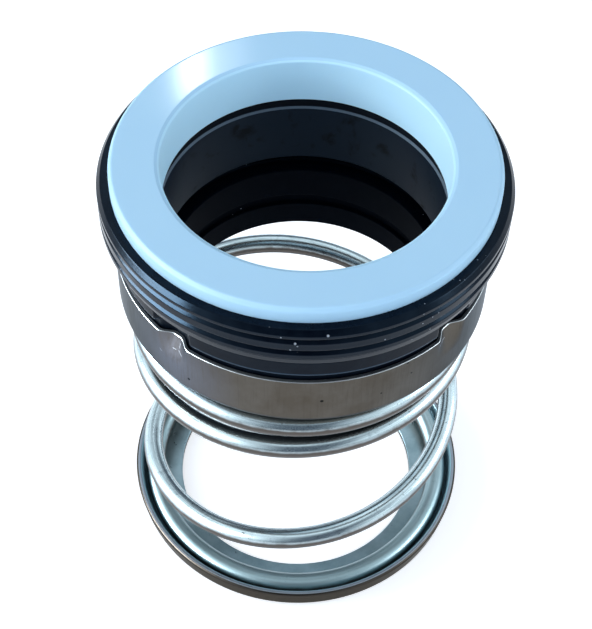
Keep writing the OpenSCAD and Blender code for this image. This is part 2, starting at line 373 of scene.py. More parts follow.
# The outer side from below: foot, then for each groove the bevel that climbs into it
# and the short underside of the next rib, and at last the bevelled top edge
def cupSection():
    s = seatCup
    outer, low, high = cupHigh[0], cupLow[2], cupHigh[2]
    depth, bevel = s["grooveDepth"], s["ribBevel"]
    first = s["grooveHeights"][0]
    corners = [
        (s["legBore"], low, s["legRound"]),
        (outer - s["footIn"] - s["footBevel"], low, s["legRound"]),
        (outer - s["footIn"], first - s["footTop"], s["footTopRound"]),
        (outer - depth, first, s["grooveRound"]),
        (outer, first + s["underBevel"], s["ribRound"]),
    ]
    for middle in s["grooveHeights"][1:]:
        corners += [
            (outer, middle - bevel, s["ribRound"]),
            (outer - depth, middle, s["grooveRound"]),
            (outer, middle + s["underBevel"], s["ribRound"]),
        ]
    corners += [
        (outer, high - bevel - s["topBevelMore"], s["ribRound"]),
        (outer - depth, high, s["ribRound"]),
        (s["inside"], high, s["topInnerRound"]),
        (s["inside"], low + s["legTop"], 0.0),
        (s["legBore"], low + s["legTop"], s["legTopRound"]),
    ]
    return filletOutline(corners)


def makeSeatCup():
    s = seatCup
    lint = [(wallPoint(angle, cupHigh[0] - s["lintSink"], z), s["lintSize"]) for angle, z in s["lint"]]
    finish = rubberFinish("cup_rubber", s["dust"], rubberTone["roughness"], rubberTone["gloss"], lint)
    dress(turnedPiece("ribbed_cup", cupSection(), s["steps"]), finish, "seat", "cup_rubber", "seat_cup")


# Black rubber of the cup and the bellows
rubberTone = {
    "colour": (0.0015, 0.0028, 0.0062),
    "worn": (0.004, 0.007, 0.012),
    "dust": (0.34, 0.36, 0.38),
    "roughness": 0.17,
    "gloss": 0.15,
    "tint": (0.36, 0.64, 0.97),
    "inside": (0.0004, 0.0012, 0.003),  # in the shaft's way: painted shade, darker where the bore lies in shade
    # painted shade: in the bore the reflection is tinted dark too
    "insideShadeTint": (0.06, 0.18, 0.36),
    "insideRadius": 22.0,
    "insideRoughness": 0.45,
    # painted highlight: a pale bluish line along the rim's lower rounding
    "rimHighlightColour": (0.018, 0.040, 0.066),
}


# Soft mould bloom, a fine grain and a little scattered dust, and painted shade in the bore. Lint is a list
# of places and sizes, and rimHighlight a painted highlight line: the radius outside which it shows and its
# height
def rubberFinish(name, dustAmount, roughness, gloss, lint=(), rimHighlight=None):
    finish, nodes, links, shader, coords = newFinish(name)
    even = scaledCoords(nodes, links, coords, (1, 1, 1))
    bloom = noiseField(nodes, links, even, 0.35, 4, 0.6)
    cloud = ramp(nodes, links, bloom, [(0.42, 0.0), (0.72, 1.0)])
    base = mixColour(nodes, links, cloud, rubberTone["colour"], rubberTone["worn"])
    axisR, axisZ = axisDistance(nodes, links, coords)
    # painted shade: inside insideRadius the colour is darkened and the reflection tinted dark
    inner = mathNode(nodes, links, "LESS_THAN", axisR, rubberTone["insideRadius"])
    boreShade = mathNode(nodes, links, "MULTIPLY", inner, 0.8)
    base = mixColour(nodes, links, boreShade, base, rubberTone["inside"])
    specks = nodes.new("ShaderNodeTexVoronoi")
    specks.inputs["Scale"].default_value = 1.1
    links.new(even, specks.inputs["Vector"])
    near = mathNode(nodes, links, "LESS_THAN", specks.outputs["Distance"], 0.11)
    patches = ramp(nodes, links, noiseField(nodes, links, even, 0.11, 2), [(0.56, 0.0), (0.66, 1.0)])
    chance = mathNode(nodes, links, "GREATER_THAN", specks.outputs["Color"], 1 - dustAmount)
    dust = mathNode(nodes, links, "MULTIPLY", mathNode(nodes, links, "MULTIPLY", near, chance), patches)
    if lint:
        dust = mathNode(nodes, links, "MAXIMUM", dust, spotMarks(nodes, links, coords, lint))
    # painted highlight: a pale line round the rim, just above its lower edge
    if rimHighlight:
        highlightRadius, highlightHeight = rimHighlight
        off = mathNode(nodes, links, "ABSOLUTE", mathNode(nodes, links, "SUBTRACT", axisZ, highlightHeight * mm))
        off = mathNode(nodes, links, "MULTIPLY", off, 1 / mm)
        line = ramp(nodes, links, off, [(0.10, 1.0), (0.28, 0.0)])
        outside = mathNode(nodes, links, "GREATER_THAN", axisR, highlightRadius)
        line = mathNode(nodes, links, "MULTIPLY", line, outside)
        base = mixColour(nodes, links, line, base, rubberTone["rimHighlightColour"])
    links.new(mixColour(nodes, links, dust, base, rubberTone["dust"]), shader.inputs["Base Color"])
    fine = noiseField(nodes, links, even, 6.0, 5, 0.6)
    rough = mathNode(nodes, links, "MULTIPLY_ADD", fine, 0.10, roughness - 0.05)
    rough = mathNode(nodes, links, "MULTIPLY_ADD", inner, rubberTone["insideRoughness"], rough)
    links.new(mathNode(nodes, links, "MULTIPLY_ADD", dust, 0.4, rough), shader.inputs["Roughness"])
    shader.inputs["Specular IOR Level"].default_value = gloss
    links.new(mixColour(nodes, links, inner, rubberTone["tint"], rubberTone["insideShadeTint"]),
              shader.inputs["Specular Tint"])
    addBump(nodes, links, shader, mathNode(nodes, links, "ADD", fine, bloom), 0.015, 0.30)
    return finish


# Carbon ring: turned outside, honed bore with smudges, narrow running nose, a painted highlight on the
# bore's top bevel
carbonRing = {
    "bore": 20.7,
    "nose": 24.1,
    "noseHeight": 1.2,
    "bevel": 0.3,
    "round": 0.1,
    "colour": (0.0048, 0.0100, 0.0185),
    "smudge": (0.0016, 0.0026, 0.0045),
    # painted highlight on the bevel at the top of the bore
    "bevelHighlight": (0.120, 0.150, 0.180),
    "roughness": 0.34,
    "gloss": 0.06,
    "tint": (0.45, 0.75, 1.0),
    "smudges": ((119.0, 64.4, 2.6), (82.5, 61.4, 2.2), (57.0, 63.0, 2.0), (124.0, 66.0, 1.2)),
    "steps": 360,
}


def carbonFinish():
    finish, nodes, links, shader, coords = newFinish("carbon_graphite")
    even = scaledCoords(nodes, links, coords, (1, 1, 1))
    blotch = noiseField(nodes, links, even, 0.28, 5, 0.62, 0.4)
    spots = [(wallPoint(angle, carbonRing["bore"], z), size) for angle, z, size in carbonRing["smudges"]]
    handled = spotMarks(nodes, links, coords, spots, soft=0.9)
    deep = mathNode(nodes, links, "MULTIPLY_ADD", handled, -0.26, blotch)
    mark = ramp(nodes, links, deep, [(0.30, 1.0), (0.42, 0.0)])
    body = mixColour(nodes, links, mark, carbonRing["colour"], carbonRing["smudge"])
    r, z = axisDistance(nodes, links, coords)
    # painted highlight: a paler colour on the bevel at the top of the bore
    litBevel = mathNode(nodes, links, "MULTIPLY",
                      mathNode(nodes, links, "GREATER_THAN", z, (carbonHigh[2] - carbonRing["bevel"]) * mm),
                      mathNode(nodes, links, "LESS_THAN", r, carbonRing["bore"] + carbonRing["bevel"]))
    links.new(mixColour(nodes, links, litBevel, body, carbonRing["bevelHighlight"]), shader.inputs["Base Color"])
    turned = noiseField(nodes, links, scaledCoords(nodes, links, coords, (0.05, 0.05, 9)), 1.0, 3)
    rough = mathNode(nodes, links, "MULTIPLY_ADD", mark, 0.12, carbonRing["roughness"])
    links.new(mathNode(nodes, links, "MULTIPLY_ADD", turned, 0.06, rough), shader.inputs["Roughness"])
    shader.inputs["Specular IOR Level"].default_value = carbonRing["gloss"]
    shader.inputs["Specular Tint"].default_value = (*carbonRing["tint"], 1)
    addBump(nodes, links, shader, turned, 0.006, 0.3)
    return finish


def makeCarbonRing():
    s = carbonRing
    outer, low, high = carbonHigh[0], carbonLow[2], carbonHigh[2]
    edge = s["bevel"]
    section = filletOutline([
        (s["bore"], low, s["round"]),
        (outer - edge, low, s["round"]),
        (outer, low + edge, s["round"]),
        (outer, high - s["noseHeight"], s["round"]),
        (s["nose"], high - s["noseHeight"], s["round"]),
        (s["nose"], high, s["round"]),
        (s["bore"] + edge, high, s["round"]),
        (s["bore"], high - edge, s["round"]),
    ])
    piece = turnedPiece("carbon_face_ring", section, s["steps"])
    dress(piece, carbonFinish(), "head", "carbon", "carbon_ring")


# Drive dents in the edge of the shell, and the notches over them in the rubber rim
driveDents = {
    "count": 4,
    "angle": 52.5,  # degrees from +X towards +Y
    "depth": 1.3,
    "halfWidth": 3.05,
    "flat": 0.45,
    "height": 4.6,
    "notchHalf": 3.1,
    "notchFoot": 1.1,
    "notchBlend": 0.3,
    "hollow": 1.2,
    "hollowHalf": 3.5,
    "denseHalf": 6.0,
    "denseStep": 0.18,
    "plainSteps": 44,
}


# Angles once round, dense at the dents, and the distance of each from the nearest dent's middle
def dentAngles(radius):
    s = driveDents
    pitch = fullTurn / s["count"]
    near = np.linspace(-s["denseHalf"], s["denseHalf"], int(2 * s["denseHalf"] / s["denseStep"]))
    far = np.linspace(s["denseHalf"], pitch * radius - s["denseHalf"], s["plainSteps"])[1:-1]
    offsets = np.concatenate([near, far])
    first = np.radians(s["angle"]) + pitch * np.arange(s["count"])
    angles = (first[:, None] + offsets / radius).ravel()
    distance = np.tile(np.minimum(np.abs(offsets), pitch * radius - offsets), s["count"])
    return angles, distance


# 3 t^2 - 2 t^3 with t cut to 0..1
def smoothRise(t):
    t = np.clip(t, 0, 1)
    return t * t * (3 - 2 * t)


# How far a dent pushes in: full depth across its flat middle, falling off smoothly to both sides,
# and growing from its lower end up to the edge with t^2 (2 - t)
def dentPush(distance, z, edgeZ, depth, halfWidth):
    s = driveDents
    across = smoothRise((halfWidth - distance) / (halfWidth - s["flat"]))
    t = np.clip(1 + (z - edgeZ) / s["height"], 0, 1)
    return depth * across * t * t * (2 - t)


# Metal shell: thin pressed cup
metalShell = {
    "thickness": 0.6,
    "edgeRound": 0.14,
    "bend": 1.4,
    "bendInside": 0.6,
    "floorHole": 22.3,
    "holeRound": 0.15,
    "colour": (0.080, 0.066, 0.050),
    "light": (0.110, 0.098, 0.083),
    "dark": (0.050, 0.040, 0.031),
    # painted highlight along the cut edge
    "cutEdgeHighlight": (0.42, 0.45, 0.47),
    "cutDepth": 0.09,
    "pit": (0.012, 0.010, 0.008),
    # scratches, and one painted reflection streak
    "scratchAndStreak": (0.62, 0.66, 0.70),
    "grazing": (0.50, 0.56, 0.62),  # tint of the slanting reflection
    # painted light: a soft bluish patch at the left dent
    "bluishLight": (0.170, 0.180, 0.215),
    "bluishPlace": (-127.0, 57.5, 11.0),
    "roughness": 0.34,
    # the third, upright stroke at the left dent is a painted reflection streak; the others are scratches
    "strokes": (((-128.2, 59.97), (-126.8, 60.05), 0.08), ((-125.8, 60.25), (-124.2, 59.80), 0.08),
                ((-125.9, 61.4), (-125.7, 60.6), 0.07), ((-42.7, 60.94), (-38.9, 60.80), 0.07),
                ((-133.0, 58.3), (-131.9, 58.0), 0.06)),
    "pits": ((-121.4, 56.0, 0.26), (-80.8, 58.0, 0.30), (-148.2, 61.3, 0.20), (-63.0, 57.2, 0.18)),
}


# The wall's section (r, z) carried round Z, with the dents' push taken off its radius:
# ((r - push) cos t, (r - push) sin t, z)
def makeShell():
    s = metalShell
    outer, low, edgeZ = shellHigh[0], shellLow[2], shellHigh[2]
    inner = outer - s["thickness"]
    section = filletOutline([
        (s["floorHole"], low, s["holeRound"]),
        (outer, low, s["bend"]),
        (outer, edgeZ, s["edgeRound"]),
        (inner, edgeZ, s["edgeRound"]),
        (inner, low + s["thickness"], s["bendInside"]),
        (s["floorHole"], low + s["thickness"], s["holeRound"]),
    ], arcSteps=9, stride=0.3)
    angles, distance = dentAngles(outer)
    r, z = section[:, 0][:, None], section[:, 1][:, None]
    radius = r - dentPush(distance, z, edgeZ, driveDents["depth"], driveDents["halfWidth"])
    grid = np.stack([radius * np.cos(angles), radius * np.sin(angles), z + 0 * angles], -1)
    dress(gridMesh("drive_shell", grid), shellFinish(), "head", "shell_steel", "metal_shell")


# Stainless sheet: fine draw marks up the wall, soft stains, pits, scratches and one painted reflection
# streak, a painted bluish light patch, and a painted highlight on the cut edge
def shellFinish():
    s = metalShell
    finish, nodes, links, shader, coords = newFinish("pressed_stainless")
    even = scaledCoords(nodes, links, coords, (1, 1, 1))
    upright = scaledCoords(nodes, links, coords, (1, 1, 0.05))
    streaks = noiseField(nodes, links, upright, 3.2, 5, 0.65)
    cloud = noiseField(nodes, links, even, 0.12, 5, 0.65)
    tone = mixColour(nodes, links, ramp(nodes, links, cloud, [(0.34, 0.0), (0.66, 1.0)]),
                     s["colour"], s["light"])
    # painted light: a bluish patch at the left dent, broken up by the streaks
    angle, height, size = s["bluishPlace"]
    lightPatch = spotMarks(nodes, links, coords, [(wallPoint(angle, shellHigh[0], height), size)], soft=0.95)
    streaked = ramp(nodes, links, streaks, [(0.25, 0.3), (0.60, 0.9)])
    lightPatch = mathNode(nodes, links, "MULTIPLY", lightPatch, streaked)
    tone = mixColour(nodes, links, lightPatch, tone, s["bluishLight"])
    streaky = mixColour(nodes, links, ramp(nodes, links, streaks, [(0.50, 0.0), (0.90, 0.45)]),
                        tone, s["dark"])
    pits = nodes.new("ShaderNodeTexVoronoi")
    pits.inputs["Scale"].default_value = 0.5
    links.new(even, pits.inputs["Vector"])
    spot = mathNode(nodes, links, "LESS_THAN", pits.outputs["Distance"], 0.10)
    some = mathNode(nodes, links, "GREATER_THAN", pits.outputs["Color"], 0.72)
    known = [(wallPoint(angle, shellHigh[0], z), size) for angle, z, size in s["pits"]]
    pit = mathNode(nodes, links, "MAXIMUM", mathNode(nodes, links, "MULTIPLY", spot, some),
                   spotMarks(nodes, links, coords, known))
    pitted = mixColour(nodes, links, pit, streaky, s["pit"])
    split = nodes.new("ShaderNodeSeparateXYZ")
    links.new(coords, split.inputs[0])
    x, y, z = split.outputs
    scratchedAndStreaked = mixColour(nodes, links, strokeMarks(nodes, links, x, y, z, shellHigh[0], s["strokes"]),
                          pitted, s["scratchAndStreak"])
    # painted highlight: a pale band along the top of the cut edge
    litEdge = mathNode(nodes, links, "GREATER_THAN", z, (shellHigh[2] - s["cutDepth"]) * mm)
    links.new(mixColour(nodes, links, litEdge, scratchedAndStreaked, s["cutEdgeHighlight"]), shader.inputs["Base Color"])
    shader.inputs["Specular Tint"].default_value = (*s["grazing"], 1)
    shader.inputs["Metallic"].default_value = 1.0
    links.new(mathNode(nodes, links, "MULTIPLY_ADD", streaks, 0.20, s["roughness"] - 0.10),
              shader.inputs["Roughness"])
    fine = noiseField(nodes, links, scaledCoords(nodes, links, coords, (1, 1, 0.12)), 8.0, 3)
    addBump(nodes, links, shader, mathNode(nodes, links, "ADD", fine, streaks), 0.006, 0.15)
    return finish


# Rubber bellows: cup round the carbon, notched rim over the shell, undercut, sleeve
bellows = {
    "carbonOutside": 24.9,
    "wall": 1.95,
    "rimHeight": 3.7,
    "rimRound": 0.7,
    "highlightUp": 0.55,
    "floor": 4.0,
    "recess": 22.4,
    "recessHeight": 2.2,
    "sleeveBore": 19.9,
    "sleeveOutside": 21.9,
    "reliefIn": 0.6,
    "reliefHeight": 1.9,
    "lowLand": 5.0,
    "mouthBevel": 0.7,
    "boreRound": 0.2,
    "outsideRound": 0.3,
    "floorRound": 0.6,
    "seatRound": 0.15,
    "hollowFloor": 0.5,  # the dents' hollows start this far above the floor
    "rimMargin": 0.05,  # what stands further out than the wall and this is the rim, and isn't pushed in
    "dust": 0.25,
    "roughness": 0.30,
    "gloss": 0.07,
}


# The section (r, z) carried round Z, with its radius cut back to the wall in the notches
# and pushed in where the dents' hollows are: (radius cos t, radius sin t, z)
def makeBellows():
    s, t = bellows, driveDents
    boreRound, outsideRound = s["boreRound"], s["outsideRound"]
    rimOuter = shellHigh[0]
    wallOuter = s["carbonOutside"] + s["wall"]
    top, low = bellowsHigh[2], bellowsLow[2]
    rimLow = top - s["rimHeight"]
    floorLow = shellLow[2] + metalShell["thickness"]
    carbonZ = floorLow + s["floor"]
    reliefZ = low + s["lowLand"]
    section = filletOutline([
        (s["sleeveBore"] + s["mouthBevel"], low, boreRound),
        (s["sleeveOutside"], low, outsideRound),
        (s["sleeveOutside"], floorLow, boreRound),
        (wallOuter, floorLow, s["floorRound"]),
        (wallOuter, rimLow, outsideRound),
        (rimOuter, rimLow, s["rimRound"]),
        (rimOuter, top, s["rimRound"]),
        (s["carbonOutside"], top, outsideRound),
        (s["carbonOutside"], carbonZ, boreRound),
        (s["recess"], carbonZ, s["seatRound"]),
        (s["recess"], carbonZ - s["recessHeight"], outsideRound),
        (s["sleeveBore"], carbonZ - s["recessHeight"], outsideRound),
        (s["sleeveBore"], reliefZ + s["reliefHeight"], boreRound),
        (s["sleeveBore"] + s["reliefIn"], reliefZ + s["reliefHeight"], boreRound),
        (s["sleeveBore"] + s["reliefIn"], reliefZ, boreRound),
        (s["sleeveBore"], reliefZ, boreRound),
        (s["sleeveBore"], low + s["mouthBevel"], boreRound),
    ], stride=0.6)
    angles, side = dentAngles(rimOuter)
    r, z = section[:, 0][:, None], section[:, 1][:, None]
    # a notch widens by a hollow quarter circle at its foot, and its sides roll over smoothly
    up = np.clip((z - rimLow) / t["notchFoot"], 0, 1)
    halfWidth = t["notchHalf"] + t["notchFoot"] * (1 - np.sqrt(1 - (1 - up) ** 2))
    notch = smoothRise((halfWidth + t["notchBlend"] - side) / (2 * t["notchBlend"]))
    radius = r - np.clip(r - wallOuter, 0, None) * notch
    # under the notches the wall is hollowed for the dents, from its outside inwards
    share = np.clip((radius - s["carbonOutside"]) / s["wall"], 0, 1) * (z > floorLow + s["hollowFloor"])
    onWall = np.clip((wallOuter + s["rimMargin"] - radius) / s["rimMargin"], 0, 1)
    radius = radius - share * dentPush(side, z, shellHigh[2], t["hollow"], t["hollowHalf"]) * onWall
    grid = np.stack([radius * np.cos(angles), radius * np.sin(angles), z + 0 * angles], -1)
    # the painted highlight line sits just above the rim's lower edge
    rimHighlight = (rimOuter - s["rimRound"], rimLow + s["highlightUp"])
    finish = rubberFinish("bellows_rubber", s["dust"], s["roughness"], s["gloss"], rimHighlight=rimHighlight)
    dress(gridMesh("bellows_moulding", grid), finish, "head", "bellows_rubber", "rubber_bellows")


# Coil spring: round wire on a helix whose climb grows out of the ring and falls under the shell
coilSpring = {
    "wire": 3.25,
    "turns": 3.8,
    "startAngle": 130.0,
    "climbStart": 0.55,
    "climbFull": 1.25,
    "topStart": 2.3,
    "topBlend": 0.35,
    "topPitch": 5.1,
    "stepsPerTurn": 144,
    "sides": 28,
    "endRound": 0.35,
    "endSteps": 6,
    "sag": 0.75,  # the last turn hangs a little lower at the front
    "sagMiddle": 3.36,
    "sagHalf": 0.42,
    "colour": (0.66, 0.78, 0.82),
    "deep": (0.34, 0.43, 0.47),
    "stain": (0.200, 0.245, 0.290),
    "fleck": (0.03, 0.035, 0.045),
    # painted shade: the dark brown underside of the wire
    "under": (0.088, 0.078, 0.070),
    "lowTurn": (0.235, 0.335, 0.365),  # the turn that lies in the ring is duller
    "roughness": 0.22,
    "compression": 15.0,
}


# A slope growing evenly from 0 at a to 1 at b, summed up from 0 to u
def eased(u, a, b):
    inside = (u - a) ** 2 / (2 * (b - a))
    return np.where(u <= a, 0.0, np.where(u >= b, u - (a + b) / 2, inside))


# Height of the wire's middle after u turns, as in the CAD spring
def wireHeight(u):
    s = coilSpring
    topA, topB = s["topStart"] - s["topBlend"], s["topStart"] + s["topBlend"]
    last = s["turns"]
    base = ringLow[2] + springRing["thickness"] + s["wire"] / 2
    top = shellLow[2] - s["wire"] / 2
    openTurns = eased(last, s["climbStart"], s["climbFull"]) - eased(last, topA, topB)
    openPitch = (top - base - s["topPitch"] * eased(last, topA, topB)) / openTurns
    openPart = eased(u, s["climbStart"], s["climbFull"]) - eased(u, topA, topB)
    sag = s["sag"] * smoothRise(1 - np.abs(u - s["sagMiddle"]) / s["sagHalf"])
    return base + openPitch * openPart + s["topPitch"] * eased(u, topA, topB) - sag


# A circle carried along the helix: centre C(u) plus wire radius times
# (cos a * outward + sin a * upward-normal), with the last rings drawn in to round the cut ends
def makeSpring():
    s = coilSpring
    middle = springHigh[0] - s["wire"] / 2
    rings = int(s["turns"] * s["stepsPerTurn"])
    quarter = np.linspace(0, np.pi / 2, s["endSteps"])
    ends = s["endRound"] * (1 - np.cos(quarter)) / (fullTurn * middle)
    u = np.concatenate([ends[:-1], np.linspace(ends[-1], s["turns"] - ends[-1], rings),
                        s["turns"] - ends[::-1][1:]])
    inset = s["endRound"] * (1 - np.sin(quarter))
    shrink = np.concatenate([inset[:-1], np.zeros(rings), inset[::-1][1:]])
    a = np.arange(s["sides"]) * fullTurn / s["sides"]
    turn = np.radians(s["startAngle"]) + fullTurn * u
    climb = np.gradient(wireHeight(u), u)
    lean = np.arctan2(climb, fullTurn * middle)
    outward = np.stack([np.cos(turn), np.sin(turn), 0 * turn], -1)
    upward = np.stack([np.sin(turn) * np.sin(lean), -np.cos(turn) * np.sin(lean), np.cos(lean)], -1)
    centre = middle * outward + np.stack([0 * turn, 0 * turn, wireHeight(u)], -1)
    radius = (s["wire"] / 2 - shrink)[:, None, None]
    grid = centre[:, None] + radius * (np.cos(a)[None, :, None] * outward[:, None]
                                       + np.sin(a)[None, :, None] * upward[:, None])
    piece = gridMesh("spring_coil", grid[:, ::-1], closeRows=False)
    # millimetres along the wire and round it, and how far a point of its skin faces up
    skin = {
        "wireAlong": np.repeat(u * fullTurn * middle, s["sides"]),
        "wireAround": np.tile(a[::-1] * s["wire"] / 2, len(u)),
        "wireRise": np.tile(np.sin(a[::-1]), len(u)),
    }
    for name, values in skin.items():
        piece.data.attributes.new(name, "FLOAT", "POINT").data.foreach_set("value", values)
    dress(piece, springFinish(), "ring", "spring_wire", "coil_spring")
    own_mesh(piece)


# Drawn wire: lengthwise draw lines, worn patches, and painted shade: a dark brown underside
def springFinish():
    s = coilSpring
    finish, nodes, links, shader, coords = newFinish("drawn_wire")
    parts = {}
    for name in ("wireAlong", "wireAround", "wireRise"):
        attribute = nodes.new("ShaderNodeAttribute")
        attribute.attribute_name = name
        parts[name] = attribute.outputs["Fac"]
    wire = nodes.new("ShaderNodeCombineXYZ")
    links.new(mathNode(nodes, links, "MULTIPLY", parts["wireAlong"], 0.04), wire.inputs["X"])
    links.new(parts["wireAround"], wire.inputs["Y"])
    drawn = noiseField(nodes, links, wire.outputs[0], 3.2, 4, 0.6)
    even = scaledCoords(nodes, links, coords, (1, 1, 1))
    worn = noiseField(nodes, links, even, 0.40, 5, 0.65, 0.5)
    tone = mixColour(nodes, links, ramp(nodes, links, drawn, [(0.40, 0.0), (0.68, 0.8)]),
                     s["colour"], s["deep"])
    stained = mixColour(nodes, links, ramp(nodes, links, worn, [(0.54, 0.0), (0.74, 0.40)]),
                        tone, s["stain"])
    chipped = noiseField(nodes, links, scaledCoords(nodes, links, coords, (1, 1, 1.6)), 1.7, 6, 0.7)
    flecks = mathNode(nodes, links, "MULTIPLY", ramp(nodes, links, chipped, [(0.60, 0.0), (0.66, 0.85)]),
                      ramp(nodes, links, worn, [(0.46, 0.0), (0.54, 1.0)]))
    stained = mixColour(nodes, links, flecks, stained, s["fleck"])
    # painted shade: the skin that faces down is coloured dark brown
    facing = mathNode(nodes, links, "MULTIPLY_ADD", worn, 0.35, parts["wireRise"])
    underShade = ramp(nodes, links, mathNode(nodes, links, "MULTIPLY_ADD", facing, 0.5, 0.5),
                [(0.71, 1.0), (0.88, 0.0)])
    height = axisDistance(nodes, links, coords)[1]
    height = mathNode(nodes, links, "MULTIPLY", height, 0.1 / mm)  # in centimetres
    low = ramp(nodes, links, height, [(0.42, 0.85), (0.62, 0.0)])
    greyed = mixColour(nodes, links, low, stained, s["lowTurn"])
    links.new(mixColour(nodes, links, underShade, greyed, s["under"]), shader.inputs["Base Color"])
    shader.inputs["Metallic"].default_value = 1.0
    blurred = mathNode(nodes, links, "MULTIPLY_ADD", low, 0.16, s["roughness"] - 0.08)
    links.new(mathNode(nodes, links, "MULTIPLY_ADD", drawn, 0.20, blurred), shader.inputs["Roughness"])
    addBump(nodes, links, shader, mathNode(nodes, links, "ADD", drawn, worn), 0.010, 0.22)
    return finish


# Spring ring: pressed foot with an upturned, slightly flared lip
springRing = {
    "hole": 20.25,
    "thickness": 1.0,
    "lipLean": 0.7,
    "bend": 1.5,
    "edgeRound": 0.2,
    "lipRoundOutside": 0.5,
    "lipRoundInside": 0.4,
    "channelRound": 0.55,
    "steps": 360,
    "colour": (0.225, 0.325, 0.368),
    "light": (0.330, 0.445, 0.500),
    # painted shade: a dark brown copy of the steel on the outside wall
    "outside": (0.050, 0.044, 0.038),
    "grazing": (0.53, 0.52, 0.50),  # tint of the slanting reflection on the outside wall
    "outsideSkin": 0.72,  # what lies less than this inside the leaning wall takes its colour
    "footSide": 0.85,  # and so does the side of the foot up to this height
    # painted light: a paler teal for the shaded channel and the lip's inner side
    "lipInsideLit": (0.260, 0.440, 0.500),
    "channelReach": 0.7,
    # painted highlight along the lip's top edge
    "lipEdgeHighlight": (0.27, 0.31, 0.36),
    "lipEdgeDepth": 0.04,
    "roughness": 0.27,
}


def makeSpringRing():
    s = springRing
    lipOuter, high, low = ringHigh[0], ringHigh[2], ringLow[2]
    outer = lipOuter - s["lipLean"]
    channel = outer - s["thickness"]
    section = filletOutline([
        (s["hole"], low, s["edgeRound"]),
        (outer, low, s["bend"]),
        (lipOuter, high, s["lipRoundOutside"]),
        (lipOuter - s["thickness"], high, s["lipRoundInside"]),
        (channel, low + s["thickness"], s["channelRound"]),
        (s["hole"], low + s["thickness"], s["edgeRound"]),
    ], arcSteps=9)
    piece = turnedPiece("spring_seat_ring", section, s["steps"])
    dress(piece, ringFinish(), "ring", "ring_steel", "spring_ring")


# Pressed steel: soft grey clouds and turned rings, painted shade on the outside wall, painted light on the
# lip's inner side and in the channel, a painted highlight on the top edge
def ringFinish():
    s = springRing
    finish, nodes, links, shader, coords = newFinish("pressed_ring_steel")
    even = scaledCoords(nodes, links, coords, (1, 1, 1))
    r, z = axisDistance(nodes, links, coords)
    cloud = noiseField(nodes, links, even, 0.22, 5, 0.6)
    tone = mixColour(nodes, links, ramp(nodes, links, cloud, [(0.35, 0.0), (0.65, 1.0)]),
                     s["colour"], s["light"])
    # the wall leans out with height, so its distance from the axis is compared with the lean
    wallR = mathNode(nodes, links, "MULTIPLY_ADD", z, s["lipLean"] / ringHigh[2] / mm,
                     ringHigh[0] - s["lipLean"] - s["outsideSkin"])
    below = mathNode(nodes, links, "LESS_THAN", z, s["footSide"] * mm)
    outward = mathNode(nodes, links, "MAXIMUM", mathNode(nodes, links, "GREATER_THAN", r, wallR), below)
    # the channel under the wire and the lip's inner side are less metallic, with painted light: a paler
    # teal colour that lifts the shade there
    channel = ringHigh[0] - s["lipLean"] - s["thickness"] - s["channelReach"]
    inside = mathNode(nodes, links, "MULTIPLY", mathNode(nodes, links, "GREATER_THAN", r, channel),
                      mathNode(nodes, links, "SUBTRACT", 1.0, outward))
    tone = mixColour(nodes, links, inside, tone, s["lipInsideLit"])
    # painted shade on the outside wall and the side of the foot
    shadedWall = mixColour(nodes, links, outward, tone, s["outside"])
    slant = mixColour(nodes, links, outward, (1.0, 1.0, 1.0), s["grazing"])
    links.new(slant, shader.inputs["Specular Tint"])
    # painted highlight: a paler colour along the lip's top edge
    top = mathNode(nodes, links, "GREATER_THAN", z, (ringHigh[2] - s["lipEdgeDepth"]) * mm)
    links.new(mixColour(nodes, links, top, shadedWall, s["lipEdgeHighlight"]), shader.inputs["Base Color"])
    links.new(mathNode(nodes, links, "MULTIPLY_ADD", inside, -0.85, 1.0), shader.inputs["Metallic"])
    rings = noiseField(nodes, links, scaledCoords(nodes, links, coords, (0.3, 0.3, 3)), 2.0, 4, 0.6)
    links.new(mathNode(nodes, links, "MULTIPLY_ADD", rings, 0.20, s["roughness"] - 0.06),
              shader.inputs["Roughness"])
    addBump(nodes, links, shader, mathNode(nodes, links, "ADD", rings, cloud), 0.015, 0.3)
    return finish


makeSeatRing()
makeSeatCup()
print("seat made")
makeCarbonRing()
makeShell()
makeBellows()
print("rotary head made")
makeSpring()
makeSpringRing()
print("spring and ring made")


# Studio: pale floor, soft room light, window on the left, small window behind, fill on the right.
# Sizes and places here are in metres and powers in watts.
studio = {
    "floorSize": 4.0,
    "floorColour": (0.86, 0.86, 0.86),
    "floorRoughness": 0.9,
    "floorGloss": 0.1,
    "floorGlow": 0.60,
    "roomFrontLow": (1.08, 1.26, 1.50),
    "roomBackLow": (0.22, 0.23, 0.25),
    "roomHigh": (0.31, 0.39, 0.50),
    "shineSides": (0.98, 1.09, 1.16),  # what polished pieces see of the room at the sides and overhead
    "shineFront": (0.07, 0.09, 0.12),  # and towards the front and the back
    "windowLeft": {"size": (0.75, 0.45), "place": (-1.0, -0.06, 0.50), "power": 8.5},
    "windowShine": {"size": (0.75, 0.42), "place": (-1.0, -0.306, 0.41), "power": 42.0},
    "windowBack": {"size": (0.024, 0.055), "place": (-0.135, 0.80, 0.765), "power": 0.16},
    "windowBackDim": {"size": (0.030, 0.050), "place": (-0.104, 0.80, 0.752), "power": 0.022},
    "fillRight": {"size": (0.35, 0.35), "place": (0.95, 0.10, 0.50), "power": 2.5},
    "shineRight": {"size": (0.30, 0.40), "place": (0.93, -0.20, 0.46), "power": 2.5},
    "lamps": ("windowLeft", "windowShine", "windowBack", "windowBackDim", "fillRight", "shineRight"),
    "shineOnly": ("windowShine", "windowBack", "windowBackDim", "shineRight"),
    "colour": (0.90, 0.96, 1.0),
    "aim": (0, 0, 0.06),
}


